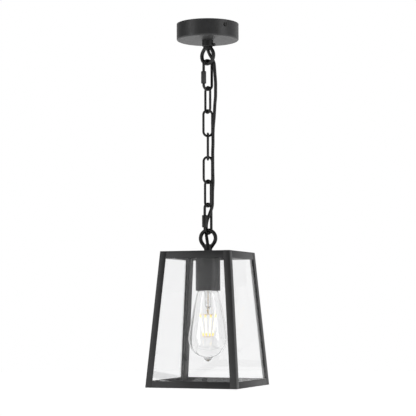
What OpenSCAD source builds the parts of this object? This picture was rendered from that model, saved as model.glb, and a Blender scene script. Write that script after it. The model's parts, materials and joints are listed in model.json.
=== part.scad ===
// Hanging lantern: a square tapering glass lantern on a chain below a round ceiling cup.
// The origin is the centre of the ceiling cup's rim, on the ceiling. +Z is up and the lantern
// hangs towards -Z, with its four sides square to X and Y.

/* [Ceiling cup] */
// Outer diameter of the ceiling cup
ceiling_cup_d = 102; // [98:1:110]
// Depth of the ceiling cup below the ceiling
ceiling_cup_h = 27; // [27:1:30]
// Sheet thickness of the ceiling cup
ceiling_cup_wall = 1.2; // [0.8:0.1:1.5]
// Rounding of the ceiling cup's lower edge
ceiling_cup_edge = 2.5; // [2:0.1:4]
// Distance between the two ceiling fixing holes
fixing_pitch = 70; // [66:1:74]
// Diameter of the ceiling fixing holes
fixing_hole_d = 5.2; // [4.2:0.1:6]
// Turn of the ceiling bracket about the vertical, in degrees
bracket_turn = -34; // [-45:1:45]

/* [Loops] */
// Radius of the loops' centreline
loop_radius = 13; // [11.5:0.1:14]
// Bar diameter of the loops
loop_wire = 6.2; // [5.6:0.1:6.4]
// Radius of the neck between a loop and its seat
loop_neck_r = 6.6; // [6.2:0.1:7.4]
// Height of the upper loop's seat above its centre
top_loop_seat = 25.2; // [25:0.1:28]
// Height of the lantern below the lower loop's centre
lantern_loop_seat = 22.4; // [22:0.1:26]
// Turn of the upper loop about the vertical, in degrees
top_loop_turn = -22; // [-30:1:-14]

/* [Chain] */
// Outer length of a plain link
link_length = 46.4; // [42:0.1:50]
// Outer width of a plain link
link_width = 18.5; // [17.5:0.1:20]
// Wire diameter of a plain link
link_wire = 3.9; // [3.4:0.1:4]
// Outer length of a quick link
quick_length = 53; // [51:0.1:56]
// Outer width of a quick link
quick_width = 19.3; // [18.5:0.1:20]
// Wire diameter of a quick link
quick_wire = 4.4; // [4:0.1:4.6]
// Length of a quick link's sleeve nut
sleeve_length = 20; // [16:0.5:20]

/* [Supply cable] */
// Diameter of the supply cable
cable_d = 5.3; // [4.8:0.1:5.6]
// Diameter of the insulated cores inside the cable
core_d = 2.2; // [1.8:0.1:2.4]

/* [Lantern] */
// Outer width of the lantern at its top
lantern_top_w = 119; // [110:1:130]
// Outer width of the lantern at its bottom
lantern_bottom_w = 155; // [140:1:170]
// Height of the lantern from its top plate to its lower edge
lantern_h = 217; // [205:1:240]
// Leg width of the angle steel in the posts and rails
angle_leg = 11; // [8:0.5:12]
// Sheet thickness of the angle steel
angle_t = 1.5; // [1:0.1:2]
// Face height of the top rails
top_rail_h = 11.5; // [9:0.5:14]
// Face height of the bottom rails
bottom_rail_h = 10.6; // [9:0.1:14]
// Thickness of the glass panes
glass_t = 2; // [1.8:0.1:3]

/* [Lamp holder] */
// Outer diameter of the metal cup over the lamp holder
holder_cup_d = 40; // [40:0.5:46]
// Height of the metal cup over the lamp holder
holder_cup_h = 61.8; // [60:0.1:66]

/* [Bulb] */
// Largest diameter of the bulb
bulb_d = 64; // [58:1:66]
// Overall length of the bulb
bulb_length = 143; // [140:1:146]

/* [Hidden] */
$fn = 48;
eps = 0.01;

paint = [0.17, 0.17, 0.18];
black_steel = [0.08, 0.08, 0.08];
bright_steel = [0.7, 0.7, 0.72];
brass = [0.78, 0.62, 0.3];
clear = [0.85, 0.9, 0.92, 0.35];

// Ceiling cup and its fittings
cup_r = ceiling_cup_d / 2;
cup_floor = -ceiling_cup_h;
bracket_t = 1.5;
bracket_w = 20;
bracket_reach = 48;
flange_h = 14;
flange_w = 14;
cover_screw_z = -8.5;
cover_screw_r = 1.9;
m10_r = 4.9;
m10_hole_r = 5.1;
nut_across_flats = 14;
washer_t = 1;
nut_t = 4;
top_stem_h = 13;
grip_screw_z = -34.5;
collar_r = 9.2;
collar_h = 10;
block_x = [7, 24];
block_w = 26;
block_h = 11;
pole_pitch = 8;
earth_screw_x = -18;
terminal_screw_x = [block_x[0] + 4, block_x[1] - 4];

// Loops: pear shaped eyes, with straight flanks from the ring to the neck
loop_hole_r = loop_radius - loop_wire / 2;
flank_end = [loop_neck_r - loop_wire / 2, 17];
flank_d = norm(flank_end);
flank_angle = atan2(flank_end[1], flank_end[0]) - acos(loop_radius / flank_d);
// A flank starts a little inside the ring, and is thinner than it by a hair
flank_overlap = 0.8;
flank_step = 0.05;
flank_start = loop_radius * [cos(flank_angle), sin(flank_angle)]
    + flank_overlap * [sin(flank_angle), -cos(flank_angle)];
top_bore_r = 4;
lantern_bore_r = 3.6;
mouth_r = 5.2;
mouth_h = 4;
lantern_stem_h = 17;

// Chain: every link hangs in the one above, with a little play between the wires
play = 0.1;
chain_turns = [48, -36, 32, 112, 40, -28, 66];
last = len(chain_turns) - 1;
function wire(i) = i < 0 ? loop_wire : i == 0 || i == last ? quick_wire : link_wire;
function span(i) = i == 0 || i == last ? quick_length - quick_wire : link_length - link_wire;
top_loop_z = cup_floor - top_loop_seat;
function pivot_z(i) = i == 0 ? top_loop_z - loop_radius : link_top(i - 1) - span(i - 1);
function link_top(i) = pivot_z(i) + (wire(i - 1) + wire(i)) / 2 + play;
function link_centre(i) = link_top(i) - span(i) / 2;
lantern_loop_z = pivot_z(last + 1) + (quick_wire + loop_wire) / 2 + play - loop_radius;
quick_gap = 6;
quick_gap_drop = 9;
sleeve_drop = 4.5;
sleeve_r = 4.7;
sleeve_bore_r = quick_wire / 2 + 0.05;

// Supply cable: points along its centreline, and where it is cut at the chain's pivots
cable_route = [
    [-1, 0, -11], [-1, 0, -20], [-1, 0, -28], [-0.5, 0, -36], [0.5, 0.5, -43],
    [3.5, 1.5, -51], [7.5, 2.5, -58], [10, 3, -65], [11, 3, -75], [12, 2.5, -86],
    [13, 2, -97], [13, 2, -108.5], [13, 1.5, -121], [12, 1, -134], [11.5, 0.5, -146.5],
    [10.5, 0.5, -159], [9.5, 0, -172], [9, 0, -185], [9, 0, -198], [8.5, 0, -211],
    [8.5, 0, -223.5], [8.5, 0, -236], [8.5, 0.5, -249], [8.5, 1, -262], [7.5, 1.5, -275],
    [7, 2, -288], [6.5, 2, -300.5], [2.5, 1.5, -312], [-2, 2.5, -322], [-4.5, 4.5, -330],
    [-5.5, 6, -338], [-5.5, 6, -345], [-4, 4.5, -352], [-2, 2, -359], [-0.5, 0.5, -366],
    [0, 0, -375], [0, 0, -389]
];
cable_cuts = [0, 7, 11, 14, 17, 20, 23, 26, 31, 36];
cable_sides = 10;
lead_routes = [
    [[-0.1, -1.8, -10.9], [-0.1, -1.8, -9.6], [1, -3.6, -8.2], [3, -5.8, -7.3], [6.9, -8, -7]],
    [[-0.1, 0.6, -10.9], [-0.1, 0.6, -9.6], [1, 3.2, -8.2], [3, 5.6, -7.3], [6.9, 8, -7]],
    [[-2.2, -0.6, -10.9], [-2.2, -0.6, -9.6], [-4.6, -0.2, -8], [-8, 0, -6], [-13.4, 0, -4]]
];
lead_colours = ["saddlebrown", "royalblue", "yellowgreen"];

// Lantern: the four sides lean outwards on the way down
lantern_top = lantern_loop_z - lantern_loop_seat;
lantern_bottom = lantern_top - lantern_h;
lean = (lantern_bottom_w - lantern_top_w) / 2 / lantern_h;
function half_w(z) = lantern_top_w / 2 + (lantern_top - z) * lean;
plate_t = 1.2;
plate_under = lantern_top - plate_t;
lip_top = lantern_bottom + angle_t;
pane_gap = 0.1;
pane_out = angle_t + pane_gap;
pane_in = pane_out + glass_t;
clip_t = 1;
clip_w = 8;
clip_h = 8.5;
clip_x = 35;

// Lamp holder
holder_cup_wall = 1;
holder_cup_top = plate_under;
holder_cup_bottom = holder_cup_top - holder_cup_h;
holder_top_t = 1.2;
lantern_nut_t = 3;
body_r = 17.5;
body_top = holder_cup_top - 7.8;
body_bottom = holder_cup_bottom + 4;
chamber_top = body_top - 6;
chamber_bottom = chamber_top - 8;
socket_top = chamber_bottom - 4;
socket_r = 14.3;
shell_r = 13.4;
shell_t = 0.6;

// Bulb: a ball with a cone tangent to it that runs up to the neck
bulb_top = socket_top - 7.6;
bulb_tip = bulb_top - bulb_length;
tip_h = 6;
ball_r = bulb_d / 2;
ball_z = bulb_tip + tip_h + ball_r;
cap_bottom = bulb_top - 26.5;
cap_r = 12.7;
thread_pitch = 3.62;
thread_rib = 0.35;
neck_r = 13.6;
glass_wall = 0.8;
neck_rise = cap_bottom - ball_z;
neck_far = norm([neck_r, neck_rise]);
cone_angle = atan2(neck_rise, neck_r) - acos(ball_r / neck_far);
filament_count = 4;
filament_r = 0.9;
filament_turn = 20;
filament_top = [11, cap_bottom - 41];
filament_end = [8, cap_bottom - 75];
press_bottom = cap_bottom - 40;

// ---- Shared shapes ----

// A half circle of wire in the XZ plane, above the X axis
module half_ring(radius, wire_d) {
    rotate([90, 0, 0])
        rotate_extrude(angle = 180)
            translate([radius, 0]) circle(d = wire_d);
}

// A chain link in the XZ plane, centred on the origin
module link_shape(length, width, wire_d) {
    bend = (width - wire_d) / 2;
    leg = length - width;
    for (side = [0, 180])
        rotate([0, side, 0]) {
            translate([0, 0, leg / 2]) half_ring(bend, wire_d);
            translate([bend, 0, -leg / 2]) cylinder(h = leg, d = wire_d);
        }
}

// A wire from one point to another
module rod(from, to, radius) {
    way = to - from;
    translate(from)
        rotate([0, acos(way[2] / norm(way)), atan2(way[1], way[0])])
            cylinder(h = norm(way), r = radius);
}

// A cast eye in the XZ plane with its neck upwards, drilled for the cable
module loop_casting(seat, stem_h, bore_r) {
    difference() {
        union() {
            rotate([90, 0, 0])
                rotate([0, 0, 180 - flank_angle])
                    rotate_extrude(angle = 180 + 2 * flank_angle)
                        translate([loop_radius, 0]) circle(d = loop_wire);
            for (side = [-1, 1])
                rod([side * flank_start[0], 0, flank_start[1]],
                    [side * flank_end[0], 0, flank_end[1]], loop_wire / 2 - flank_step);
            translate([0, 0, loop_hole_r]) cylinder(h = seat - loop_hole_r, r = loop_neck_r);
            translate([0, 0, seat]) cylinder(h = stem_h, r = m10_r);
        }
        cylinder(h = seat + stem_h + 1, r = bore_r);
    }
}

// A six-sided nut standing on the XY plane, with a round hole
module hex_nut(across_flats, height, hole_r) {
    difference() {
        cylinder(h = height, r = across_flats / 2 / cos(30), $fn = 6);
        translate([0, 0, -1]) cylinder(h = height + 2, r = hole_r);
    }
}

// A slotted screw with its head above the XY plane and its shank below it
module slotted_screw(head_r, head_h, shank_r, shank_h) {
    slot = head_r / 4;
    difference() {
        cylinder(h = head_h, r = head_r);
        translate([-head_r - 1, -slot / 2, head_h / 2]) cube([2 * head_r + 2, slot, head_h]);
    }
    translate([0, 0, -shank_h]) cylinder(h = shank_h + eps, r = shank_r);
}

// A block with level ends and leaning sides; each end is [x low, x high, y low, y high]
module leaning_block(z_low, low, z_high, high) {
    reach = 2 * lantern_bottom_w;
    function outline(a, b) = [[low[a], z_low], [low[b], z_low], [high[b], z_high], [high[a], z_high]];
    intersection() {
        rotate([90, 0, 0]) linear_extrude(reach, center = true) polygon(outline(0, 1));
        rotate([90, 0, 90]) linear_extrude(reach, center = true) polygon(outline(2, 3));
    }
}

// Turns the front of the lantern to side 0 front, 1 right, 2 back or 3 left
module on_side(side) {
    rotate([0, 0, 90 * side]) children();
}

// A sheet in the front of the lantern, from depth out to depth in behind the outer face,
// ending a distance short of the outer corners
module front_sheet(out, in, short, z_low, z_high) {
    function ends(z) = [short - half_w(z), half_w(z) - short, out - half_w(z), in - half_w(z)];
    leaning_block(z_low, ends(z_low), z_high, ends(z_high));
}

// A round tube through the centres, with a ring of points across the way at each of them
function unit(v) = v / norm(v);
function ring_points(centre, direction, across, radius, sides) =
    let (t = unit(direction), a = unit(cross(across, t)), b = cross(t, a))
        [for (k = [0:sides - 1])
            centre + radius * (cos(360 * k / sides) * a + sin(360 * k / sides) * b)];
module tube(centres, directions, across, radius, sides) {
    count = len(centres);
    points = [
        for (i = [0:count - 1])
            each ring_points(centres[i], directions[i], across, radius, sides)
    ];
    walls = [
        for (i = [0:count - 2], k = [0:sides - 1])
            let (n = (k + 1) % sides)
                each [
                    [i * sides + k, (i + 1) * sides + n, i * sides + n],
                    [i * sides + k, (i + 1) * sides + k, (i + 1) * sides + n]
                ]
    ];
    start = [[for (k = [0:sides - 1]) k]];
    end = [[for (k = [sides - 1:-1:0]) (count - 1) * sides + k]];
    polyhedron(points = points, faces = concat(walls, start, end));
}

// A smooth curve through points, given by the place and the direction at a step t from point i
function beside(way, i, j) =
    i + j < 0 ? 2 * way[0] - way[1]
    : i + j >= len(way) ? 2 * way[len(way) - 1] - way[len(way) - 2]
    : way[i + j];
function curve_place(way, i, t) =
    let (p = beside(way, i, -1), q = way[i], r = beside(way, i, 1), s = beside(way, i, 2))
        (2 * q + (r - p) * t + (2 * p - 5 * q + 4 * r - s) * t * t
            + (3 * q - p - 3 * r + s) * t * t * t) / 2;
function curve_direction(way, i, t) =
    let (p = beside(way, i, -1), q = way[i], r = beside(way, i, 1), s = beside(way, i, 2))
        (r - p + 2 * (2 * p - 5 * q + 4 * r - s) * t + 3 * (3 * q - p - 3 * r + s) * t * t) / 2;
module smooth_tube(way, first, end, steps, across, radius, sides) {
    stops = [
        for (i = [first:end - 1], k = [0:steps - 1]) [i, k / steps],
        [end - 1, 1]
    ];
    tube([for (s = stops) curve_place(way, s[0], s[1])],
        [for (s = stops) curve_direction(way, s[0], s[1])], across, radius, sides);
}

// ---- Ceiling cup and its fittings ----

module cup_outline(radius, depth, edge) {
    translate([0, -depth]) square([radius - edge, depth]);
    translate([0, edge - depth]) square([radius, depth - edge]);
    translate([radius - edge, edge - depth]) circle(r = edge);
}

module ceiling_cup() {
    wall = ceiling_cup_wall;
    color(paint)
        difference() {
            rotate_extrude() cup_outline(cup_r, ceiling_cup_h, ceiling_cup_edge);
            translate([0, 0, eps])
                rotate_extrude()
                    cup_outline(cup_r - wall, ceiling_cup_h - wall + eps, ceiling_cup_edge - wall);
            translate([0, 0, cup_floor - 1]) cylinder(h = wall + 2, r = m10_hole_r);
            at_cover_screws()
                translate([0, 0, -3 * wall])
                    cylinder(h = 6 * wall, r = cover_screw_r + 0.3);
        }
}

// Puts its children on the wall of the ceiling cup at both cover screws, +Z outwards
module at_cover_screws() {
    for (side = [0, 180])
        rotate([0, 0, bracket_turn + side])
            translate([cup_r, 0, cover_screw_z])
                rotate([0, 90, 0]) children();
}

module ceiling_bracket() {
    color(bright_steel)
        rotate([0, 0, bracket_turn])
            difference() {
                union() {
                    translate([-bracket_reach, -bracket_w / 2, -bracket_t])
                        cube([2 * bracket_reach, bracket_w, bracket_t]);
                    for (side = [0, 180])
                        rotate([0, 0, side])
                            translate([bracket_reach - bracket_t, -flange_w / 2, -flange_h])
                                cube([bracket_t, flange_w, flange_h]);
                }
                for (x = [-fixing_pitch / 2, fixing_pitch / 2])
                    translate([x, 0, -bracket_t - 1])
                        cylinder(h = bracket_t + 2, d = fixing_hole_d);
                translate([earth_screw_x, 0, -bracket_t - 1])
                    cylinder(h = bracket_t + 2, r = 1.7);
                translate([0, 0, -bracket_t - 1]) cylinder(h = bracket_t + 2, r = m10_hole_r);
                for (side = [0, 180])
                    rotate([0, 0, side])
                        translate([bracket_reach - 2 * bracket_t, 0, cover_screw_z])
                            rotate([0, 90, 0])
                                cylinder(h = 3 * bracket_t, r = cover_screw_r + 0.05);
            }
}

module cover_screws() {
    color(black_steel)
        at_cover_screws()
            slotted_screw(3.2, 1.8, cover_screw_r, cup_r - bracket_reach + 4);
}

module top_loop() {
    color(black_steel)
        difference() {
            translate([0, 0, top_loop_z])
                rotate([0, 0, top_loop_turn]) {
                    loop_casting(top_loop_seat, top_stem_h, top_bore_r);
                    translate([0, 0, top_loop_seat - collar_h])
                        difference() {
                            union() {
                                cylinder(h = 1, r1 = collar_r - 1, r2 = collar_r);
                                translate([0, 0, 1]) cylinder(h = collar_h - 1, r = collar_r);
                            }
                            translate([0, 0, -1]) cylinder(h = collar_h + 2, r = top_bore_r);
                        }
                }
            translate([0, 0, grip_screw_z])
                rotate([0, 90, 0]) cylinder(h = collar_r + 1, r = 2);
        }
}

module top_loop_washer() {
    color(bright_steel)
        translate([0, 0, cup_floor + ceiling_cup_wall])
            difference() {
                cylinder(h = washer_t, r = 9);
                translate([0, 0, -1]) cylinder(h = washer_t + 2, r = m10_hole_r);
            }
}

module top_loop_nut() {
    color(bright_steel)
        translate([0, 0, cup_floor + ceiling_cup_wall + washer_t])
            hex_nut(nut_across_flats, nut_t, m10_r + 0.02);
}

module cord_grip_screw() {
    color(black_steel)
        translate([collar_r + 0.3, 0, grip_screw_z])
            rotate([0, 90, 0]) slotted_screw(2.6, 3.4, 1.95, collar_r + 0.3 - 2.1);
}

module terminal_block() {
    length = block_x[1] - block_x[0];
    color("ivory")
        rotate([0, 0, bracket_turn])
            difference() {
                translate([block_x[0], -block_w / 2, -bracket_t - block_h])
                    cube([length, block_w, block_h]);
                for (pole = [-1:1])
                    translate([block_x[0] - 1, pole * pole_pitch, -7])
                        rotate([0, 90, 0]) cylinder(h = length + 2, r = 1.6);
                for (pole = [-1:1], x = terminal_screw_x)
                    translate([x, pole * pole_pitch, -bracket_t - block_h - 1])
                        cylinder(h = 5, r = 2.2);
                for (groove = [-0.5, 0.5])
                    translate([block_x[0] - 1, groove * pole_pitch - 0.6, -bracket_t - block_h - 1])
                        cube([length + 2, 1.2, 3.5]);
            }
}

module terminal_screws() {
    color(brass)
        rotate([0, 0, bracket_turn])
            for (pole = [-1:1], x = terminal_screw_x)
                translate([x, pole * pole_pitch, -bracket_t - block_h + 2])
                    rotate([180, 0, 0]) slotted_screw(1.9, 1.6, 1.4, 2);
}

module earth_screw() {
    color(brass)
        rotate([0, 0, bracket_turn])
            translate([earth_screw_x, 0, -bracket_t - 1.2]) {
                rotate([180, 0, 0]) slotted_screw(3.2, 1.8, 1.6, bracket_t + 1);
                difference() {
                    cylinder(h = 1.2, r = 4);
                    translate([0, 0, -1]) cylinder(h = 3, r = 1.65);
                }
            }
}

module inner_leads() {
    rotate([0, 0, bracket_turn])
        for (i = [0:len(lead_routes) - 1])
            color(lead_colours[i])
                smooth_tube(lead_routes[i], 0, 4, 3, [0.1, 1, 0.2], core_d / 2, 8);
}

// ---- Chain ----

module on_link(i) {
    translate([0, 0, link_centre(i)]) rotate([0, 0, chain_turns[i]]) children();
}

module chain_link(i) {
    color(black_steel) on_link(i) link_shape(link_length, link_width, link_wire);
}

module quick_link(i) {
    bend = (quick_width - quick_wire) / 2;
    color(black_steel)
        on_link(i)
            difference() {
                link_shape(quick_length, quick_width, quick_wire);
                translate([-bend, 0, -quick_gap_drop - quick_gap / 2])
                    cylinder(h = quick_gap, r = quick_wire);
            }
}

// The sleeve nut that closes a quick link: six sides, with turned down ends
module link_sleeve(i) {
    bend = (quick_width - quick_wire) / 2;
    taper = 1.5;
    color(black_steel)
        on_link(i)
            translate([-bend, 0, -sleeve_drop - sleeve_length / 2])
                difference() {
                    intersection() {
                        cylinder(h = sleeve_length, r = sleeve_r, $fn = 6);
                        union() {
                            translate([0, 0, taper])
                                cylinder(h = sleeve_length - 2 * taper, r = sleeve_r + 1);
                            cylinder(h = taper, r1 = sleeve_r - taper / 2, r2 = sleeve_r + 0.1);
                            translate([0, 0, sleeve_length - taper])
                                cylinder(h = taper, r1 = sleeve_r + 0.1, r2 = sleeve_r - taper / 2);
                        }
                    }
                    translate([0, 0, -1]) cylinder(h = sleeve_length + 2, r = sleeve_bore_r);
                }
}

// ---- Supply cable ----

// The stretch of cable that goes with one link; part 1 is fixed to the ceiling cup
module supply_cable(part) {
    color(black_steel)
        smooth_tube(cable_route, cable_cuts[part - 1], cable_cuts[part], 2,
            [0, 1, 0], cable_d / 2, cable_sides);
}

// ---- Lantern frame ----

module lantern_loop() {
    color(black_steel)
        translate([0, 0, lantern_loop_z])
            rotate([180, 0, 0])
                difference() {
                    loop_casting(lantern_loop_seat, lantern_stem_h, lantern_bore_r);
                    translate([0, 0, loop_hole_r - eps])
                        cylinder(h = mouth_h, r1 = mouth_r, r2 = lantern_bore_r);
                }
}

module lantern_loop_nut() {
    color(bright_steel)
        translate([0, 0, holder_cup_top - holder_top_t - lantern_nut_t])
            hex_nut(nut_across_flats, lantern_nut_t, m10_r + 0.02);
}

module top_plate() {
    color(paint)
        difference() {
            translate([-lantern_top_w / 2, -lantern_top_w / 2, plate_under])
                cube([lantern_top_w, lantern_top_w, plate_t]);
            translate([0, 0, plate_under - 1]) cylinder(h = plate_t + 2, r = m10_hole_r);
        }
}

module top_rail(side) {
    color(paint)
        on_side(side) front_sheet(0, angle_t, angle_leg, lantern_top - top_rail_h, plate_under);
}

module post(corner) {
    color(paint)
        on_side(corner) {
            post_leg(0, angle_leg, 0, angle_t);
            post_leg(0, angle_t, angle_t / 2, angle_leg);
        }
}

// One leg of the front left post, by its depths behind the left and the front face
module post_leg(left_out, left_in, front_out, front_in) {
    function ends(z) = [
        left_out - half_w(z), left_in - half_w(z), front_out - half_w(z), front_in - half_w(z)
    ];
    leaning_block(lantern_bottom, ends(lantern_bottom), plate_under, ends(plate_under));
}

module bottom_rail(side) {
    lip_short = side % 2 == 0 ? angle_t : angle_leg;
    color(paint)
        on_side(side) {
            front_sheet(0, angle_t, angle_leg, lantern_bottom, lantern_bottom + bottom_rail_h);
            front_sheet(0, angle_leg, angle_leg, lantern_bottom, lip_top);
            front_sheet(angle_t + pane_gap, angle_leg - pane_gap, lip_short, lantern_bottom, lip_top);
        }
}

// Side panes fit between the front and the back pane
module glass_pane(side) {
    short = side % 2 == 0 ? pane_out + 0.3 : pane_in + 0.3;
    color(clear)
        on_side(side)
            front_sheet(pane_out, pane_in, short, lip_top + pane_gap, plate_under - 0.8);
}

// Tabs that hold each pane's edges against the rails
module glass_clips() {
    out = pane_in + pane_gap;
    function ends(x, z) = [
        x - clip_w / 2, x + clip_w / 2, out - half_w(z), out + clip_t - half_w(z)
    ];
    color(paint)
        for (side = [0:3], x = [-clip_x, clip_x], z = [lip_top, plate_under - clip_h])
            on_side(side) leaning_block(z, ends(x, z), z + clip_h, ends(x, z + clip_h));
}

// ---- Lamp holder ----

module holder_cup() {
    radius = holder_cup_d / 2;
    color(paint)
        translate([0, 0, holder_cup_top])
            difference() {
                rotate([180, 0, 0])
                    rotate_extrude()
                        translate([0, holder_cup_h]) cup_outline(radius, holder_cup_h, 1.5);
                translate([0, 0, -holder_cup_h - 1])
                    cylinder(h = holder_cup_h + 1 - holder_top_t, r = radius - holder_cup_wall);
                translate([0, 0, -2 * holder_top_t]) cylinder(h = 3 * holder_top_t, r = m10_hole_r);
            }
}

module holder_body() {
    color("dimgray")
        difference() {
            union() {
                translate([0, 0, body_bottom])
                    cylinder(h = body_top - 3 - body_bottom, r = body_r);
                translate([0, 0, body_top - 3]) cylinder(h = 3, r1 = body_r, r2 = body_r - 3);
            }
            translate([0, 0, chamber_top - 1]) cylinder(h = 8, r = m10_r + 0.03);
            translate([0, 0, chamber_bottom]) cylinder(h = chamber_top - chamber_bottom, r = 12);
            for (x = [-7, 7])
                translate([x, 0, socket_top - 1]) cylinder(h = 6, r = 1.5);
            translate([0, 0, body_bottom - 1]) cylinder(h = socket_top - body_bottom + 1, r = socket_r);
            translate([0, 0, body_bottom - 1]) cylinder(h = 5, r = socket_r + 1.7);
        }
}

// The screw shell, with its thread as rolled ribs
module holder_shell() {
    top = socket_top - 2;
    height = top - body_bottom - 5;
    color(brass)
        translate([0, 0, top - height])
            difference() {
                cylinder(h = height, r = shell_r + shell_t);
                translate([0, 0, -1]) cylinder(h = height + 2, r = shell_r);
            }
}

// A base strip under the partition, with a springy tongue down to the bulb's contact
module holder_contact() {
    top = socket_top;
    tip = bulb_top + 0.2;
    color(brass)
        translate([0, 2.5, 0])
            rotate([90, 0, 0])
                linear_extrude(5)
                    polygon([
                        [-8, top], [8, top], [8, top - 0.6], [-7, top - 0.6], [-4, tip + 0.6],
                        [4, tip + 0.6], [4, tip], [-4.4, tip], [-8, top - 0.6]
                    ]);
}

// ---- Bulb ----

module bulb_contact() {
    color(brass)
        translate([0, 0, bulb_top - 0.8]) cylinder(h = 0.8, r1 = 4.8, r2 = 4);
    color("black")
        translate([0, 0, bulb_top - 3]) cylinder(h = 2.2, r1 = 9.5, r2 = 6);
}

module bulb_cap() {
    top = bulb_top - 3;
    shoulder = 2;
    color(bright_steel)
        difference() {
            union() {
                translate([0, 0, top - shoulder])
                    cylinder(h = shoulder, r1 = cap_r, r2 = cap_r - 2.5);
                translate([0, 0, cap_bottom]) cylinder(h = top - shoulder - cap_bottom, r = cap_r);
                for (z = [top - 4:-thread_pitch:cap_bottom + 4])
                    translate([0, 0, z])
                        rotate_extrude() translate([cap_r, 0]) circle(r = thread_rib);
            }
            translate([0, 0, cap_bottom - 1])
                cylinder(h = top - shoulder - cap_bottom, r = cap_r - 0.3);
        }
}

// The bulb's envelope, smaller by the inset on every face
module bulb_solid(inset) {
    ball = ball_r - inset;
    join = ball * [cos(cone_angle), sin(cone_angle)];
    neck = neck_r - inset;
    translate([0, 0, ball_z]) sphere(r = ball, $fn = 96);
    translate([0, 0, ball_z + join[1]])
        cylinder(h = neck_rise - join[1], r1 = join[0], r2 = neck, $fn = 96);
}

module bulb_glass() {
    throat_r = cap_r - 0.5;
    color(clear)
        difference() {
            union() {
                bulb_solid(0);
                translate([0, 0, cap_bottom - eps]) cylinder(h = 6, r = throat_r);
                translate([0, 0, bulb_tip]) cylinder(h = tip_h + 2, r1 = 3, r2 = 7.5);
            }
            bulb_solid(glass_wall);
            translate([0, 0, cap_bottom - 2]) cylinder(h = 9, r = throat_r - glass_wall);
        }
}

module bulb_stem() {
    flare_h = 10;
    throat = cap_r - 0.5 - glass_wall - 0.2;
    color(clear) {
        translate([0, 0, cap_bottom - flare_h + 5]) cylinder(h = flare_h, r1 = 2.4, r2 = throat);
        translate([0, 0, press_bottom + 9])
            cylinder(h = cap_bottom - press_bottom - flare_h - 4 + eps, r = 2.4);
        rotate([0, 0, filament_turn + 45])
            translate([-3.5, -1.5, press_bottom]) cube([7, 3, 9 + eps]);
    }
}

module bulb_filaments() {
    color("khaki")
        for (i = [0:filament_count - 1])
            rotate([0, 0, filament_turn + 360 / filament_count * i])
                rod([filament_top[0], 0, filament_top[1]],
                    [filament_end[0], 0, filament_end[1]], filament_r);
}

// Wires out from the stem to each filament, and links between the filaments' lower ends
module bulb_wires() {
    wire_r = 0.3;
    inner = 1.5;
    color(bright_steel) {
        for (i = [0:filament_count - 1])
            rotate([0, 0, filament_turn + 360 / filament_count * i])
                rod([inner, 0, press_bottom - 0.4],
                    [filament_top[0] - 0.3, 0, filament_top[1] + 0.4], wire_r);
        for (i = [0:2:filament_count - 1])
            rotate([0, 0, filament_turn + 360 / filament_count * i])
                rod([filament_end[0], 0, filament_end[1] - 0.4],
                    [0, filament_end[0], filament_end[1] - 0.4], wire_r);
    }
}

ceiling_cup();
ceiling_bracket();
cover_screws();
top_loop();
top_loop_nut();
top_loop_washer();
cord_grip_screw();
terminal_block();
terminal_screws();
earth_screw();
inner_leads();
quick_link(0);  // top_quick_link
link_sleeve(0);  // top_link_sleeve
chain_link(1);  // chain_link_1
chain_link(2);  // chain_link_2
chain_link(3);  // chain_link_3
chain_link(4);  // chain_link_4
chain_link(5);  // chain_link_5
quick_link(6);  // bottom_quick_link
link_sleeve(6);  // bottom_link_sleeve
supply_cable(1);  // supply_cable_1
supply_cable(2);  // supply_cable_2
supply_cable(3);  // supply_cable_3
supply_cable(4);  // supply_cable_4
supply_cable(5);  // supply_cable_5
supply_cable(6);  // supply_cable_6
supply_cable(7);  // supply_cable_7
supply_cable(8);  // supply_cable_8
supply_cable(9);  // supply_cable_9
lantern_loop();
lantern_loop_nut();
top_plate();
top_rail(0);  // top_rail_front
top_rail(1);  // top_rail_right
top_rail(2);  // top_rail_back
top_rail(3);  // top_rail_left
post(0);  // post_front_left
post(1);  // post_front_right
post(2);  // post_back_right
post(3);  // post_back_left
bottom_rail(0);  // bottom_rail_front
bottom_rail(1);  // bottom_rail_right
bottom_rail(2);  // bottom_rail_back
bottom_rail(3);  // bottom_rail_left
glass_pane(0);  // glass_front
glass_pane(1);  // glass_right
glass_pane(2);  // glass_back
glass_pane(3);  // glass_left
glass_clips();
holder_cup();
holder_body();
holder_shell();
holder_contact();
bulb_contact();
bulb_cap();
bulb_glass();
bulb_stem();
bulb_filaments();
bulb_wires();
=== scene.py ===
"""A hanging lantern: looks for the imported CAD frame. All lengths are in metres."""

import json
import math

import bmesh
import bpy
from mathutils import Euler, Matrix, Vector


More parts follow.
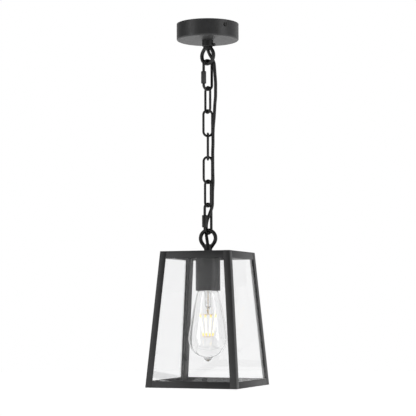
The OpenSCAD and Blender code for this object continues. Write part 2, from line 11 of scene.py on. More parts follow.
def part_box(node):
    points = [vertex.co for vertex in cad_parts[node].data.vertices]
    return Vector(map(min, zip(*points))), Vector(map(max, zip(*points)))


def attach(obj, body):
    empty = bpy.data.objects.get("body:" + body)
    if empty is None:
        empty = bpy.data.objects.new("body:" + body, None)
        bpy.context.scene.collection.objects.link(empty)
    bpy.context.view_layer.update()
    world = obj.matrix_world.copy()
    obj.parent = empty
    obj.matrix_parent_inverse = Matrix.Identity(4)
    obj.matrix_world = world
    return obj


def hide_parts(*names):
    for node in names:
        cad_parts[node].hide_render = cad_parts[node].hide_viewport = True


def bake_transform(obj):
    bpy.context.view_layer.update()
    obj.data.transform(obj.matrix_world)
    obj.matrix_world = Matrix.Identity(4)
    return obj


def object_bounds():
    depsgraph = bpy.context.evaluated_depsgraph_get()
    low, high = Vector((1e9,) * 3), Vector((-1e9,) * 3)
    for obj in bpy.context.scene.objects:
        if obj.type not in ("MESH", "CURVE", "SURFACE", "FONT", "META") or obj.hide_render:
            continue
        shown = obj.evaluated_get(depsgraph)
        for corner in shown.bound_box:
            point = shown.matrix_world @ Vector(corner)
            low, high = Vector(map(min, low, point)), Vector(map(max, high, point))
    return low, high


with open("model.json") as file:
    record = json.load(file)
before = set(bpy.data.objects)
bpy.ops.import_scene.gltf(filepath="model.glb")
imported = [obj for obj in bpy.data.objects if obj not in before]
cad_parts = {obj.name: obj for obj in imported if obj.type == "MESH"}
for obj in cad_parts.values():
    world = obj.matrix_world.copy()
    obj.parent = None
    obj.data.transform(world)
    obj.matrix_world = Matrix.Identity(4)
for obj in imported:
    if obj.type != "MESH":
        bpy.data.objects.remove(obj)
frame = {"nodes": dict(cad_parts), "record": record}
cad_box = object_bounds()

MM = 0.001
UP = Vector((0, 0, 1))
ACROSS = Vector((0, 1, 0))
SIDES = ("front", "right", "back", "left")
CORNERS = ("front_left", "front_right", "back_right", "back_left")
CHAIN = [
    "ceiling_rose", "top_quick_link", "link_1", "link_2", "link_3", "link_4", "link_5",
    "bottom_quick_link", "lantern",
]
# Turn of each link's plane about the chain's axis, in degrees, as in the CAD model
LINK_TURNS = [48, -36, 32, 112, 40, -28, 66]
LINK_NODES = ["top_quick_link", *[f"chain_link_{i}" for i in range(1, 6)], "bottom_quick_link"]


def middle(node):
    low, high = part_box(node)
    return (low + high) / 2


# ---- Camera ----

CAMERA_DISTANCE = 2.321
CAMERA_HEIGHT = -0.472
CAMERA_TURN = 21.4
CAMERA_PITCH = 4.16
CAMERA_LENS = 123.4
CAMERA_SENSOR = 36
CAMERA_ROLL = -0.12
VIEW_END = 50


def make_camera():
    data = bpy.data.cameras.new("camera")
    data.lens = CAMERA_LENS
    data.sensor_width = CAMERA_SENSOR
    data.clip_end = VIEW_END
    camera = bpy.data.objects.new("camera", data)
    bpy.context.scene.collection.objects.link(camera)
    turn = math.radians(CAMERA_TURN)
    camera.location = (
        CAMERA_DISTANCE * math.sin(turn), -CAMERA_DISTANCE * math.cos(turn), CAMERA_HEIGHT)
    facing = Euler((math.radians(90 + CAMERA_PITCH), 0, turn)).to_matrix()
    roll = Matrix.Rotation(math.radians(CAMERA_ROLL), 3, "Z")
    camera.rotation_euler = (facing @ roll).to_euler()
    bpy.context.scene.camera = camera


# ---- Mesh tools ----

def make_object(name, bm, smooth_angle=None):
    """Turns a bmesh into an object; faces meet smoothly up to the angle, in degrees."""
    mesh = bpy.data.meshes.new(name)
    if smooth_angle is not None:
        limit = math.radians(smooth_angle)
        for face in bm.faces:
            face.smooth = True
        for edge in bm.edges:
            if len(edge.link_faces) == 2 and edge.calc_face_angle(0) > limit:
                edge.smooth = False
    bm.to_mesh(mesh)
    bm.free()
    piece = bpy.data.objects.new(name, mesh)
    bpy.context.scene.collection.objects.link(piece)
    return piece


def finish_piece(piece, material, body, slot, *replaced):
    piece.data.materials.clear()
    piece.data.materials.append(material)
    if body:
        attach(piece, body)
    if replaced:
        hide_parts(*replaced)
    return piece


def angles(sides):
    return [2 * math.pi * k / sides for k in range(sides)]


def ring_around(bm, centre, direction, across, radius, sides):
    side = across.cross(direction).normalized()
    other = direction.cross(side).normalized()
    return [bm.verts.new(centre + radius * (math.cos(a) * side + math.sin(a) * other))
            for a in angles(sides)]


def flat_ring(bm, radius, z, sides, squash=1.0):
    """A level ring about the Z axis; squash is its depth along Y, as a part of its width."""
    return [bm.verts.new((radius * math.cos(a), radius * squash * math.sin(a), z))
            for a in angles(sides)]


def join_rings(bm, one, two):
    sides = len(one)
    for k in range(sides):
        n = (k + 1) % sides
        bm.faces.new((one[k], one[n], two[n], two[k]))


def skin(bm, rings):
    """Joins each ring to the next and closes both ends."""
    for one, two in zip(rings, rings[1:]):
        join_rings(bm, one, two)
    bm.faces.new(rings[0][::-1])
    bm.faces.new(rings[-1])


def sweep(bm, path, radius, sides, across):
    """A tube along the points."""
    last = len(path) - 1
    rings = []
    for i, point in enumerate(path):
        direction = (path[min(i + 1, last)] - path[max(i - 1, 0)]).normalized()
        rings.append(ring_around(bm, point, direction, across, radius, sides))
    skin(bm, rings)


def revolve(bm, outline, sides):
    """Turns (radius, z) points about the Z axis; a radius of 0 closes the shape there."""
    rings = [
        [bm.verts.new((0, 0, z))] if radius == 0 else flat_ring(bm, radius, z, sides)
        for radius, z in outline
    ]
    for one, two in zip(rings, rings[1:]):
        if len(one) == 1 and len(two) == 1:
            continue
        for k in range(sides):
            n = (k + 1) % sides
            corners = [one[0]] if len(one) == 1 else [one[k], one[n]]
            corners += [two[0]] if len(two) == 1 else [two[n], two[k]]
            bm.faces.new(corners)


def spline_point(points, i, t):
    """A point on the smooth curve, a part t of the way from point i to the next."""
    a, b = points[i], points[i + 1]
    before = points[i - 1] if i > 0 else 2 * a - b
    after = points[i + 2] if i + 2 < len(points) else 2 * b - a
    return 0.5 * (
        2 * a + (b - before) * t + (2 * before - 5 * a + 4 * b - after) * t * t
        + (3 * a - before - 3 * b + after) * t * t * t)


def spline(points, first, end, steps):
    """The smooth curve from one of the points to another, with a number of steps between two."""
    path = [spline_point(points, i, k / steps) for i in range(first, end) for k in range(steps)]
    return path + [points[end].copy()]


# ---- Materials ----

# Most of a noise's values lie between these
NOISE_LOW = 0.3
NOISE_HIGH = 0.7
GLASS_IOR = 1.47
FILAMENT_GLOW = 1.1


class Material:
    """A Principled material with procedural detail, in the piece's own coordinates."""

    def __init__(self, name, roughness=0.5, metallic=0.0):
        self.data = bpy.data.materials.new(name)
        self.data.use_nodes = True
        self.tree = self.data.node_tree
        self.shader = self.tree.nodes["Principled BSDF"]
        self.shader.inputs["Roughness"].default_value = roughness
        self.shader.inputs["Metallic"].default_value = metallic
        self.place = self.tree.nodes.new("ShaderNodeTexCoord").outputs["Object"]

    def link(self, output, target):
        self.tree.links.new(output, target)

    def noise(self, size, detail=3.0, stretch=(1, 1, 1)):
        """Noise whose features are about this size, in metres."""
        mapping = self.tree.nodes.new("ShaderNodeMapping")
        mapping.inputs["Scale"].default_value = [s / size for s in stretch]
        self.link(self.place, mapping.inputs["Vector"])
        node = self.tree.nodes.new("ShaderNodeTexNoise")
        node.inputs["Scale"].default_value = 1.0
        node.inputs["Detail"].default_value = detail
        self.link(mapping.outputs["Vector"], node.inputs["Vector"])
        return node.outputs["Fac"]

    def colours(self, factor, *stops):
        """Base colour from a factor, through (place, colour) stops."""
        node = self.tree.nodes.new("ShaderNodeValToRGB")
        ramp = node.color_ramp
        while len(ramp.elements) > 1:
            ramp.elements.remove(ramp.elements[-1])
        for i, (place, colour) in enumerate(sorted(stops)):
            stop = ramp.elements[0] if i == 0 else ramp.elements.new(place)
            stop.position = place
            stop.color = (*colour, 1)
        self.link(factor, node.inputs["Fac"])
        self.link(node.outputs["Color"], self.shader.inputs["Base Color"])
        return node.outputs["Color"]

    def rough_between(self, factor, low, high):
        node = self.tree.nodes.new("ShaderNodeMapRange")
        node.inputs["From Min"].default_value = NOISE_LOW
        node.inputs["From Max"].default_value = NOISE_HIGH
        node.inputs["To Min"].default_value = low
        node.inputs["To Max"].default_value = high
        self.link(factor, node.inputs["Value"])
        self.link(node.outputs["Result"], self.shader.inputs["Roughness"])

    def bumps(self, factor, strength, distance):
        node = self.tree.nodes.new("ShaderNodeBump")
        node.inputs["Strength"].default_value = strength
        node.inputs["Distance"].default_value = distance
        self.link(factor, node.inputs["Height"])
        self.link(node.outputs["Normal"], self.shader.inputs["Normal"])


def grey(level, tint=(1, 1, 1)):
    return tuple(level * t for t in tint)


def powder_coat():
    m = Material("powder_coat")
    m.colours(m.noise(0.012), (0.3, grey(0.020)), (0.7, grey(0.026, (1, 1, 1.06))))
    m.rough_between(m.noise(0.004), 0.40, 0.50)
    m.bumps(m.noise(0.0009, 2), 0.35, 0.0001)
    return m.data


def black_steel():
    m = Material("black_steel")
    m.colours(m.noise(0.006), (0.3, grey(0.002)), (0.75, grey(0.005)))
    m.rough_between(m.noise(0.002), 0.36, 0.5)
    m.bumps(m.noise(0.0012, 4), 0.25, 0.00008)
    return m.data


def cast_black():
    m = Material("cast_black")
    m.colours(m.noise(0.005), (0.3, grey(0.003)), (0.75, grey(0.007)))
    m.rough_between(m.noise(0.002), 0.40, 0.55)
    m.bumps(m.noise(0.0016, 5), 0.4, 0.00015)
    return m.data


def cable_jacket():
    m = Material("cable_jacket")
    m.colours(m.noise(0.01), (0.3, grey(0.003)), (0.7, grey(0.006)))
    m.rough_between(m.noise(0.003), 0.42, 0.55)
    m.bumps(m.noise(0.0008, 2, (1, 1, 0.2)), 0.15, 0.00004)
    return m.data


def zinc():
    m = Material("zinc", metallic=1)
    m.colours(m.noise(0.008), (0.3, (0.55, 0.56, 0.58)), (0.7, (0.68, 0.68, 0.66)))
    m.rough_between(m.noise(0.002, 3, (1, 1, 6)), 0.25, 0.42)
    return m.data


def brass():
    m = Material("brass", metallic=1)
    m.colours(m.noise(0.006), (0.3, (0.66, 0.46, 0.18)), (0.7, (0.78, 0.58, 0.27)))
    m.rough_between(m.noise(0.002), 0.22, 0.4)
    return m.data


def moulding(name, level, roughness):
    m = Material(name)
    m.colours(m.noise(0.01), (0.3, grey(level * 0.92)), (0.7, grey(level, (1, 0.995, 0.97))))
    m.rough_between(m.noise(0.003), roughness - 0.06, roughness + 0.06)
    m.bumps(m.noise(0.0008, 2), 0.15, 0.00005)
    return m.data


def lead_insulation():
    m = Material("lead_insulation")
    brown, blue, green = (0.20, 0.08, 0.03), (0.03, 0.09, 0.35), (0.25, 0.42, 0.06)
    m.colours(m.noise(0.01, 2, (1, 1, 0.3)), (0.42, brown), (0.5, blue), (0.6, green))
    m.rough_between(m.noise(0.003), 0.35, 0.5)
    return m.data


def clear_glass(name, tint):
    m = Material(name)
    m.colours(m.noise(0.05), (0.3, tint), (0.7, tuple(min(1, t * 1.006) for t in tint)))
    m.rough_between(m.noise(0.03), 0.0, 0.012)
    m.shader.inputs["Transmission Weight"].default_value = 1
    m.shader.inputs["IOR"].default_value = GLASS_IOR
    return m.data


def glowing_phosphor(low, high):
    """The coating on a filament: white hot along its length and yellow at both ends."""
    m = Material("filament_phosphor", roughness=0.5)
    split = m.tree.nodes.new("ShaderNodeSeparateXYZ")
    m.link(m.place, split.inputs["Vector"])
    along = m.tree.nodes.new("ShaderNodeMapRange")
    along.inputs["From Min"].default_value = low
    along.inputs["From Max"].default_value = high
    m.link(split.outputs["Z"], along.inputs["Value"])
    yellow, hot = (0.95, 0.66, 0.14), (1.0, 0.96, 0.80)
    colour = m.colours(
        along.outputs["Result"], (0, yellow), (0.1, yellow), (0.16, hot), (0.84, hot),
        (0.9, yellow), (1, yellow))
    m.link(colour, m.shader.inputs["Emission Color"])
    m.shader.inputs["Emission Strength"].default_value = FILAMENT_GLOW
    return m.data


MATERIALS = {}


def make_materials():
    filaments_low, filaments_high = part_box("bulb_filaments")
    MATERIALS.update(
        black_powder_coat=powder_coat(),
        black_steel=black_steel(),
        black_cast_iron=cast_black(),
        zinc_plate=zinc(),
        brass=brass(),
        white_plastic=moulding("white_plastic", 0.7, 0.45),
        black_phenolic=moulding("black_phenolic", 0.02, 0.4),
        lead_insulation=lead_insulation(),
        cable_jacket=cable_jacket(),
        clear_glass=clear_glass("clear_glass", (0.958, 0.959, 0.961)),
        clear_glass_bulb=clear_glass("clear_glass_bulb", (0.975, 0.975, 0.975)),
        cap_metal=zinc(),
        filament=glowing_phosphor(filaments_low.z, filaments_high.z),
        bulb_wire=brass(),
    )


def dress_cad_nodes():
    """Gives every node of the CAD model its slot's material."""
    for part in frame["record"]["subparts"]:
        node = frame["nodes"][part["node"]]
        node.data.materials.clear()
        node.data.materials.append(MATERIALS[part["material_slot"]])


# ---- Supply cable ----

CABLE_DIAMETER = 0.0053
CABLE_ROUTE = [Vector(p) * MM for p in (
    (-1, 0, -11), (-1, 0, -20), (-1, 0, -28), (-0.5, 0, -36), (0.5, 0.5, -43),
    (3.5, 1.5, -51), (7.5, 2.5, -58), (10, 3, -65), (11, 3, -75), (12, 2.5, -86),
    (13, 2, -97), (13, 2, -108.5), (13, 1.5, -121), (12, 1, -134), (11.5, 0.5, -146.5),
    (10.5, 0.5, -159), (9.5, 0, -172), (9, 0, -185), (9, 0, -198), (8.5, 0, -211),
    (8.5, 0, -223.5), (8.5, 0, -236), (8.5, 0.5, -249), (8.5, 1, -262), (7.5, 1.5, -275),
    (7, 2, -288), (6.5, 2, -300.5), (2.5, 1.5, -312), (-2, 2.5, -322), (-4.5, 4.5, -330),
    (-5.5, 6, -338), (-5.5, 6, -345), (-4, 4.5, -352), (-2, 2, -359), (-0.5, 0.5, -366),
    (0, 0, -375), (0, 0, -389))]
CABLE_STEPS = 6
# Route points between the pieces of cable, each at the middle of a link
CABLE_CUTS = [0, 9, 13, 16, 19, 22, 25, 28, 36]
# The number of sides round the cable
CABLE_SIDES = 20


def make_cable():
    """The cable in pieces from the middle of one link to the middle of the next."""
    last = len(CHAIN) - 1
    for k in range(1, last + 1):
        path = spline(CABLE_ROUTE, CABLE_CUTS[k - 1], CABLE_CUTS[k], CABLE_STEPS)
        bm = bmesh.new()
        sweep(bm, path, CABLE_DIAMETER / 2, CABLE_SIDES, ACROSS)
        piece = make_object(f"cable_{k}", bm, 50)
        replaced = [f"supply_cable_{k}"]
        if k == last:
            replaced.append(f"supply_cable_{k + 1}")
        finish_piece(piece, MATERIALS["cable_jacket"], None, "cable_jacket", *replaced)
        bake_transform(piece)


# ---- Lantern frame, glass and sheet metal ----

SAME_POINT = 2e-6
FLAT_ANGLE = math.radians(1)
SHARP_ANGLE = 0.6


def softened(node, edge, body, slot, segments=2):
    """A copy of a flat-sided CAD node with its sharp edges rounded."""
    bm = bmesh.new()
    bm.from_mesh(frame["nodes"][node].data)
    bmesh.ops.remove_doubles(bm, verts=bm.verts, dist=SAME_POINT)
    bmesh.ops.dissolve_limit(bm, angle_limit=FLAT_ANGLE, verts=bm.verts, edges=bm.edges)
    sharp = [e for e in bm.edges if len(e.link_faces) == 2 and e.calc_face_angle(0) > SHARP_ANGLE]
    bmesh.ops.bevel(bm, geom=sharp, offset=edge, segments=segments, profile=0.5,
                    affect="EDGES", clamp_overlap=True)
    piece = make_object(f"{node}_finish", bm, 35)
    return finish_piece(piece, MATERIALS[slot], body, slot, node)


def make_frame():
    for node in ["top_plate", *[f"top_rail_{s}" for s in SIDES], *[f"post_{c}" for c in CORNERS],
                 *[f"bottom_rail_{s}" for s in SIDES]]:
        softened(node, 0.00035, "lantern", "black_powder_coat")
    softened("glass_clips", 0.0002, "lantern", "black_powder_coat", 1)
    for side in SIDES:
        softened(f"glass_{side}", 0.00025, "lantern", "clear_glass", 1)
    softened("ceiling_bracket", 0.0002, "ceiling_rose", "zinc_plate", 1)
    softened("terminal_block", 0.0003, "ceiling_rose", "white_plastic", 1)


# ---- Chain ----

LINK_WIRE = 0.0039
LINK_WIDTH = 0.0185
LINK_POINTS = 96
LINK_SIDES = 18
# The weld is half way round the link; its spread is a part of the way round
WELD_PLACE = 0.5
WELD_SPREAD = 0.012
WELD_SWELL = 0.00018


def stadium(length, width, count):
    """Points round a link's centreline in the XZ plane, from the middle of its left leg upwards."""
    bend = width / 2
    leg = length - width
    whole = 2 * leg + 2 * math.pi * bend
    points = []
    for k in range(count):
        at = whole * k / count
        if at < leg / 2:
            points.append(Vector((-bend, 0, at)))
        elif at < leg / 2 + math.pi * bend:
            a = (at - leg / 2) / bend
            points.append(Vector((-bend * math.cos(a), 0, leg / 2 + bend * math.sin(a))))
        elif at < 1.5 * leg + math.pi * bend:
            points.append(Vector((bend, 0, leg / 2 - (at - leg / 2 - math.pi * bend))))
        elif at < 1.5 * leg + 2 * math.pi * bend:
            a = (at - 1.5 * leg - math.pi * bend) / bend
            points.append(Vector((bend * math.cos(a), 0, -leg / 2 - bend * math.sin(a))))
        else:
            points.append(Vector((-bend, 0, at - whole)))
    return points


def wire_radius(place):
    """The link wire's radius at a place round it, 0 to 1, with the weld's low swelling."""
    return LINK_WIRE / 2 + WELD_SWELL * math.exp(-((place - WELD_PLACE) / WELD_SPREAD) ** 2)


def make_link(i):
    """A welded link of round wire."""
    node = LINK_NODES[i]
    low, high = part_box(node)
    path = stadium(high.z - low.z - LINK_WIRE, LINK_WIDTH - LINK_WIRE, LINK_POINTS)
    bm = bmesh.new()
    rings = []
    for k, point in enumerate(path):
        direction = (path[(k + 1) % LINK_POINTS] - path[k - 1]).normalized()
        rings.append(
            ring_around(bm, point, direction, ACROSS, wire_radius(k / LINK_POINTS), LINK_SIDES))
    for k in range(LINK_POINTS):
        join_rings(bm, rings[k - 1], rings[k])
    turn = Matrix.Rotation(math.radians(LINK_TURNS[i]), 4, "Z")
    bm.transform(Matrix.Translation(middle(node)) @ turn)
    bmesh.ops.recalc_face_normals(bm, faces=bm.faces)
    piece = make_object(f"link_{i}_wire", bm, 60)
    finish_piece(piece, MATERIALS["black_steel"], CHAIN[i + 1], "black_steel", node)


def make_chain():
    for i in range(1, 6):
        make_link(i)
    softened("top_link_sleeve", 0.0003, "top_link_sleeve", "black_steel")
    softened("bottom_link_sleeve", 0.0003, "bottom_link_sleeve", "black_steel")


# ---- Bulb ----

BULB_SIDES = 96
GLASS_WALL = 0.0007
THROAT_R = 0.0120
SHOULDER_R = 0.0146
NECK_R = 0.0165
NECK_STEPS = 12
# How far the neck's side stands out from a straight cone
NECK_SWELL = 0.0006
BALL_STEPS = 36
INSIDE_STEPS = 40
TIP_HEIGHT = 0.006
TIP_START = math.radians(-76)
# The solid tip: parts of the way down, and of the radius where it starts
TIP_OUTLINE = ((0.2, 0.86), (0.4, 0.74), (0.6, 0.61), (0.78, 0.46), (0.92, 0.28), (1.0, 0.0))


def bulb_outline():
    """The envelope's outer (radius, height) points: the neck, then the ball and the tip."""
    low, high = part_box("bulb_glass")
    ball_r = (high.x - low.x) / 2
    cap_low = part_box("bulb_cap")[0].z
    centre_z = low.z + TIP_HEIGHT + ball_r
    neck = [(THROAT_R, high.z), (THROAT_R, cap_low + 0.0004), (SHOULDER_R, cap_low - 0.0002),
            (NECK_R - 0.0004, cap_low - 0.0014)]
    rise = cap_low - centre_z
    lean = math.atan2(rise, NECK_R) - math.acos(ball_r / math.hypot(NECK_R, rise))
    join_r, join_z = ball_r * math.cos(lean), centre_z + ball_r * math.sin(lean)
    for k in range(1, NECK_STEPS):
        t = k / NECK_STEPS
        swell = NECK_SWELL * math.sin(math.pi * t)
        neck.append((NECK_R + (join_r - NECK_R) * t + swell, cap_low + (join_z - cap_low) * t))
    ball = []
    for k in range(BALL_STEPS + 1):
        a = lean + (TIP_START - lean) * k / BALL_STEPS
        ball.append((ball_r * math.cos(a), centre_z + ball_r * math.sin(a)))
    tip_r, tip_z = ball[-1]
    tip = [(tip_r * part, tip_z + (low.z - tip_z) * t) for t, part in TIP_OUTLINE]
    return neck, ball + tip, centre_z, ball_r, lean


def make_bulb_glass():
    """A thin envelope: its inside runs round the whole ball, and the tip below is solid."""
    neck, rest, centre_z, ball_r, lean = bulb_outline()
    inner_r = ball_r - GLASS_WALL
    inner = [(r - GLASS_WALL, z) for r, z in neck]
    for k in range(INSIDE_STEPS):
        a = lean - (lean + math.pi / 2) * k / INSIDE_STEPS
        inner.append((inner_r * math.cos(a), centre_z + inner_r * math.sin(a)))
    inner.append((0, centre_z - inner_r))
    bm = bmesh.new()
    revolve(bm, inner[::-1] + neck + rest, BULB_SIDES)
    bmesh.ops.recalc_face_normals(bm, faces=bm.faces)
    piece = make_object("bulb_envelope", bm, 70)
    finish_piece(piece, MATERIALS["clear_glass_bulb"], "bulb", "clear_glass", "bulb_glass")


FILAMENTS = 4
FILAMENT_TURN = 41
FILAMENT_TOP = 0.0135
FILAMENT_END = 0.008
FILAMENT_R = 0.0012
FILAMENT_SIDES = 14
# Places along a filament and its thickness there, as a part of the whole
FILAMENT_SHAPE = ((0, 0.45), (0.012, 0.8), (0.03, 1), (0.1, 1), (0.3, 1), (0.5, 1), (0.7, 1),
                  (0.9, 1), (0.97, 1), (0.988, 0.8), (1, 0.45))
# No filament or wire runs along these, so each gives its rings a steady side
ASLANT = Vector((0.3, 1, 0.1))
WIRE_ACROSS = Vector((0.2, 1, 0.3))
# The stem is turned so that the press stands between the filaments
STEM_TURN = FILAMENT_TURN + 45
STEM_SIDES = 40
PRESS_HEIGHT = 0.009
PRESS_ROWS = 8
PRESS_SIDES = 24
# Radius, and height above the press or under the stem's top: up the outside, round the
# flare and down the inside
STEM_OUTSIDE = ((0.0, -0.001), (0.0022, -0.001), (0.0030, 0.0012), (0.0046, 0.004),
                (0.0052, 0.008))
STEM_FLARE = ((0.0053, -0.018), (0.0056, -0.010), (0.0066, -0.004), (0.0088, -0.0008),
              (0.0108, 0), (0.0104, -0.0006), (0.0082, -0.0016), (0.0058, -0.0048),
              (0.0048, -0.011))
STEM_INSIDE = ((0.0045, 0.0085), (0.0038, 0.0048), (0.0022, 0.0026), (0.0, 0.0022))


def make_bulb_stem():
    """A flared glass tube, pinched flat round the wires at its end."""
    low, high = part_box("bulb_stem")
    press_high = low.z + PRESS_HEIGHT
    outline = [(r, press_high + z) for r, z in STEM_OUTSIDE]
    outline += [(r, high.z + z) for r, z in STEM_FLARE]
    outline += [(r, press_high + z) for r, z in STEM_INSIDE]
    bm = bmesh.new()
    revolve(bm, outline[::-1], STEM_SIDES)
    press = []
    for k in range(PRESS_ROWS + 1):
        t = k / PRESS_ROWS
        wide = 0.0024 + 0.0012 * math.sin(math.pi * min(1, t * 1.3)) + 0.0004 * t
        thin = 0.0022 * (1 - 0.45 * t)
        z = press_high + 0.0004 - PRESS_HEIGHT * t
        press.append(flat_ring(bm, wide, z, PRESS_SIDES, thin / wide))
    skin(bm, press)
    bm.transform(Matrix.Rotation(math.radians(STEM_TURN), 4, "Z"))
    bmesh.ops.recalc_face_normals(bm, faces=bm.faces)
    piece = make_object("stem_glass", bm, 50)
    finish_piece(piece, MATERIALS["clear_glass_bulb"], "bulb", "clear_glass", "bulb_stem")


def around(turn, r, z):
    a = math.radians(turn)
    return Vector((r * math.cos(a), r * math.sin(a), z))


def filament_ends():
    """Each filament's turn about the axis, and the heights of its lower and upper end."""
    low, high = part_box("bulb_filaments")
    return [(FILAMENT_TURN + 360 / FILAMENTS * i, low.z, high.z) for i in range(FILAMENTS)]


def make_filaments():
    """Four coated strips with rounded ends, leaning in towards the tip."""
    bm = bmesh.new()
    for turn, low, high in filament_ends():
        top, end = around(turn, FILAMENT_TOP, high), around(turn, FILAMENT_END, low)
        direction = (end - top).normalized()
        skin(bm, [
            ring_around(bm, top.lerp(end, t), direction, ASLANT, FILAMENT_R * size, FILAMENT_SIDES)
            for t, size in FILAMENT_SHAPE
        ])
    bmesh.ops.recalc_face_normals(bm, faces=bm.faces)
    piece = make_object("filament_strips", bm, 50)
    finish_piece(piece, MATERIALS["filament"], "bulb", "filament", "bulb_filaments")


WIRE_R = 0.00028
WIRE_SIDES = 8
WIRE_STEPS = 5
TAB_R = WIRE_R * 1.6
TAB_IN = 0.0003
BRIDGE_SAG = 0.0008


def make_bulb_wires():
    """Lead-in wires down the stem, hooks out to the filaments and bridges below them."""
    stem_low, stem_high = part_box("bulb_stem")
    bm = bmesh.new()

    def bend_wire(points, across=WIRE_ACROSS):
        sweep(bm, spline(points, 0, len(points) - 1, WIRE_STEPS), WIRE_R, WIRE_SIDES, across)

    ends = filament_ends()
    for turn, low, high in ends:
        bend_wire([
            around(turn, 0.0012, stem_low.z + 0.007), around(turn, 0.0014, stem_low.z + 0.001),
            around(turn, 0.0030, stem_low.z - 0.0012), around(turn, 0.0070, stem_low.z - 0.0004),
            around(turn, FILAMENT_TOP - 0.0006, high + 0.0012),
            around(turn, FILAMENT_TOP, high - 0.0004)])
        tab = [around(turn, FILAMENT_END, low + 0.0004),
               around(turn, FILAMENT_END - TAB_IN, low - 0.0012)]
        sweep(bm, tab, TAB_R, WIRE_SIDES, WIRE_ACROSS)
    for one, two in ((0, 1), (2, 3)):
        start, stop = (around(turn, FILAMENT_END - TAB_IN, low - 0.001)
                       for turn, low, _ in (ends[one], ends[two]))
        bend_wire([start, (start + stop) / 2 - BRIDGE_SAG * UP, stop], UP)
    for side in (-1, 1):
        bend_wire([
            around(STEM_TURN, side * 0.0055, stem_high.z - 0.002),
            around(STEM_TURN, side * 0.0012, stem_high.z - 0.014),
            around(STEM_TURN, side * 0.0010, stem_low.z + 0.014),
            around(STEM_TURN, side * 0.0016, stem_low.z + 0.004)])
    bmesh.ops.recalc_face_normals(bm, faces=bm.faces)
    piece = make_object("filament_wires", bm, 60)
    finish_piece(piece, MATERIALS["bulb_wire"], "bulb", "bulb_wire", "bulb_wires")


CAP_R = 0.0127
CAP_SIDES = 72
CAP_WALL = 0.0003
# The thread ends this far under the cap's top
THREAD_TOP = 0.002
THREAD_ROWS = 100
THREAD_PITCH = 0.00362
THREAD_DEPTH = 0.00035


def thread_ring(bm, z, low, high):
    """One row of the shell between the thread's two ends, where it fades out."""
    fade = max(0, min(1, (z - low) / 0.003, (high - z) / 0.002))
    ring = []
    for k, a in enumerate(angles(CAP_SIDES)):
        wave = 0.5 + 0.5 * math.cos(2 * math.pi * (z / THREAD_PITCH - k / CAP_SIDES))
        r = CAP_R - THREAD_DEPTH * 0.4 + THREAD_DEPTH * 1.4 * wave * fade
        ring.append(bm.verts.new((r * math.cos(a), r * math.sin(a), z)))
    return ring


def make_bulb_cap():
    """The cap's shell with its thread as a true helix, thin and open below."""
    low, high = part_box("bulb_cap")
    thread_high = high.z - THREAD_TOP
    inner_r = CAP_R - 0.0005 - CAP_WALL
    bm = bmesh.new()
    rings = [thread_ring(bm, low.z + (thread_high - low.z) * row / THREAD_ROWS, low.z, thread_high)
             for row in range(THREAD_ROWS + 1)]
    for r, z in ((CAP_R - 0.0008, high.z - 0.0011), (CAP_R - 0.0025, high.z - 0.0002),
                 (0.0098, high.z), (0.0098, high.z - 0.0006), (CAP_R - 0.0012, high.z - 0.0024),
                 (inner_r, high.z - 0.004), (inner_r, low.z + 0.0005)):
        rings.append(flat_ring(bm, r, z, CAP_SIDES))
    for k in range(len(rings)):
        join_rings(bm, rings[k - 1], rings[k])
    bmesh.ops.recalc_face_normals(bm, faces=bm.faces)
    piece = make_object("cap_shell", bm, 40)
    finish_piece(piece, MATERIALS["cap_metal"], "bulb", "cap_metal", "bulb_cap")


def make_bulb():
    make_bulb_glass()
    make_bulb_stem()
    make_filaments()
    make_bulb_wires()
    make_bulb_cap()


# ---- Room and light ----

FLOOR_DROP = 0.55
FLOOR_RADIUS = 14
FLOOR_DEPTH = 0.05
FLOOR_GLOW = 0.82
# The world's strength as light, in front of the lantern and behind it
WORLD_FRONT = 0.13
WORLD_BACK = 0.85


def make_floor():
    m = Material("floor", roughness=0.8)
    white = m.colours(m.noise(0.8), (0.3, grey(0.90)), (0.7, grey(0.93)))
    m.link(white, m.shader.inputs["Emission Color"])
    m.shader.inputs["Emission Strength"].default_value = FLOOR_GLOW
    bm = bmesh.new()
    revolve(bm, [(0, 0), (FLOOR_RADIUS, 0), (FLOOR_RADIUS, -FLOOR_DEPTH), (0, -FLOOR_DEPTH)], 96)
    bmesh.ops.recalc_face_normals(bm, faces=bm.faces)
    floor = make_object("floor", bm)
    floor.location.z = cad_box[0][2] - FLOOR_DROP
    floor.data.materials.append(m.data)


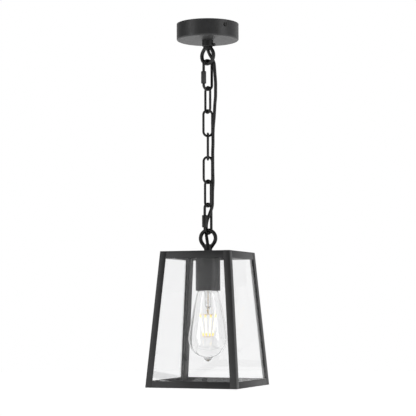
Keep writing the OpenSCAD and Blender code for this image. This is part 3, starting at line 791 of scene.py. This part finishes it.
def make_world():
    """White for what is seen directly or through glass; softer, and darker in front, as light."""
    world = bpy.data.worlds.new("studio")
    bpy.context.scene.world = world
    world.use_nodes = True
    tree = world.node_tree
    background = tree.nodes["Background"]
    path = tree.nodes.new("ShaderNodeLightPath")
    seen = tree.nodes.new("ShaderNodeMath")
    seen.operation = "MAXIMUM"
    tree.links.new(path.outputs["Is Camera Ray"], seen.inputs[0])
    tree.links.new(path.outputs["Is Transmission Ray"], seen.inputs[1])
    place = tree.nodes.new("ShaderNodeTexCoord")
    split = tree.nodes.new("ShaderNodeSeparateXYZ")
    tree.links.new(place.outputs["Generated"], split.inputs["Vector"])
    depth = tree.nodes.new("ShaderNodeMapRange")
    depth.inputs["From Min"].default_value = 0.2
    depth.inputs["From Max"].default_value = 0.8
    depth.inputs["To Min"].default_value = WORLD_FRONT
    depth.inputs["To Max"].default_value = WORLD_BACK
    tree.links.new(split.outputs["Y"], depth.inputs["Value"])
    mix = tree.nodes.new("ShaderNodeMix")
    mix.inputs["B"].default_value = 1.0
    tree.links.new(seen.outputs["Value"], mix.inputs["Factor"])
    tree.links.new(depth.outputs["Result"], mix.inputs["A"])
    tree.links.new(mix.outputs["Result"], background.inputs["Strength"])
    background.inputs["Color"].default_value = (1, 1, 1, 1)


def add_softbox(name, place, target, width, height, power):
    data = bpy.data.lights.new(name, "AREA")
    data.shape = "RECTANGLE"
    data.size = width
    data.size_y = height
    data.energy = power
    light = bpy.data.objects.new(name, data)
    bpy.context.scene.collection.objects.link(light)
    light.location = place
    light.rotation_euler = (target - Vector(place)).to_track_quat("-Z", "Y").to_euler()


def make_lights():
    target = (Vector(cad_box[0]) + Vector(cad_box[1])) / 2
    add_softbox("softbox_right", (2.6, -0.5, 0.2), target, 0.8, 2.0, 18)
    add_softbox("softbox_left", (-1.9, -2.2, 0.4), target, 0.7, 2.0, 16)


# ---- Making it all ----

make_materials()
make_camera()
make_cable()
dress_cad_nodes()
make_frame()
make_chain()
make_bulb()
make_floor()
make_world()
make_lights()
bpy.context.scene.view_settings.view_transform = "Standard"
